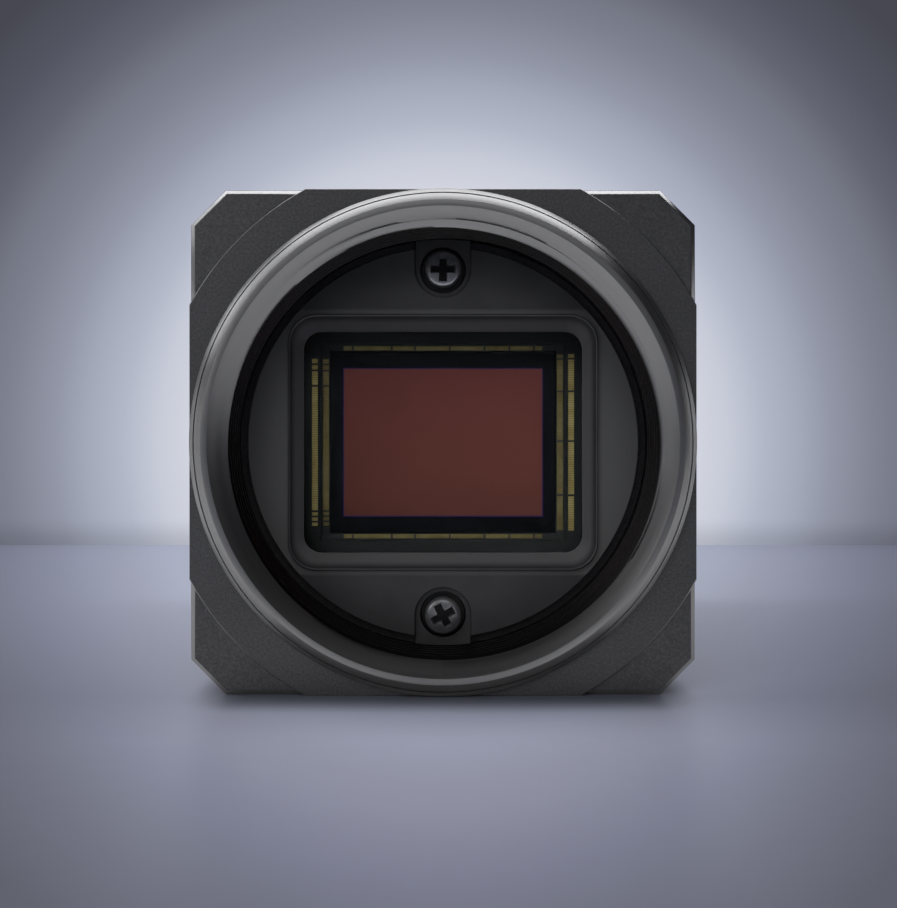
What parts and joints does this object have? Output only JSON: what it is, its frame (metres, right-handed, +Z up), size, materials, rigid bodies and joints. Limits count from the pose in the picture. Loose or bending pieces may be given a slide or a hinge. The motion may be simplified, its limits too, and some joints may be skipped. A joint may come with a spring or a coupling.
{
  "type": "machine vision camera",
  "caption": "Compact square machine vision camera with a threaded lens mount, a large image sensor behind a filter, and a network jack at the back.",
  "frame": {"origin": "middle of the camera's footprint, on the surface that it stands on", "axes": "-Y the way the lens mount faces, +Y towards the connectors, +Z up, +X to the right as seen from in front of the lens mount looking along +Y"},
  "size_m": [0.029, 0.0474, 0.029],
  "materials": {
    "anodised_housing": "bead-blasted, black anodised",
    "anodised_ring": "turned, black anodised, satin",
    "mask_plastic": "moulded glass-filled black",
    "blackened_screw": "black zinc",
    "filter_glass": "polished, coated",
    "seal_rubber": "moulded silicone",
    "package_ceramic": "fired dark alumina",
    "die_silicon": "polished silicon",
    "pixel_filters": "colour filters and micro lenses",
    "gold_plating": "gold plated",
    "circuit_board": "green solder mask",
    "chip_epoxy": "moulded epoxy",
    "connector_plastic": "moulded black",
    "spacer_brass": "turned brass",
    "steel_screw": "zinc plated",
    "nickel_shield": "nickel-plated sheet",
    "nickel_barrel": "satin nickel, turned",
    "clear_guide": "clear polycarbonate",
    "led_body": "resin lens on a white body"
  },
  "bodies": {
    "root": {"front_housing": "anodised_housing", "main_housing": "anodised_housing", "rear_cover": "anodised_housing", "lens_mount_ring": "anodised_ring", "mask_plate": "mask_plastic", "mask_screws": "blackened_screw", "filter_glass": "filter_glass", "dust_seal": "seal_rubber", "sensor_package": "package_ceramic", "sensor_cover_glass": "filter_glass", "sensor_die": "die_silicon", "pixel_array": "pixel_filters", "bond_fingers": "gold_plating", "sensor_board": "circuit_board", "main_board": "circuit_board", "interface_board": "circuit_board", "board_spacers": "spacer_brass", "board_screws": "steel_screw", "sensor_link_connectors": "connector_plastic", "board_link_connectors": "connector_plastic", "processor_chip": "chip_epoxy", "memory_chips": "chip_epoxy", "network_chip": "chip_epoxy", "interface_board_screws": "steel_screw", "jack_shield": "nickel_shield", "jack_body": "connector_plastic", "jack_contacts": "gold_plating", "io_connector_shell": "nickel_barrel", "io_connector_insert": "connector_plastic", "io_connector_pins": "gold_plating", "io_connector_nut": "nickel_barrel", "tie_screws": "blackened_screw", "light_guide": "clear_guide", "status_led": "led_body"}
  },
  "joints": []
}
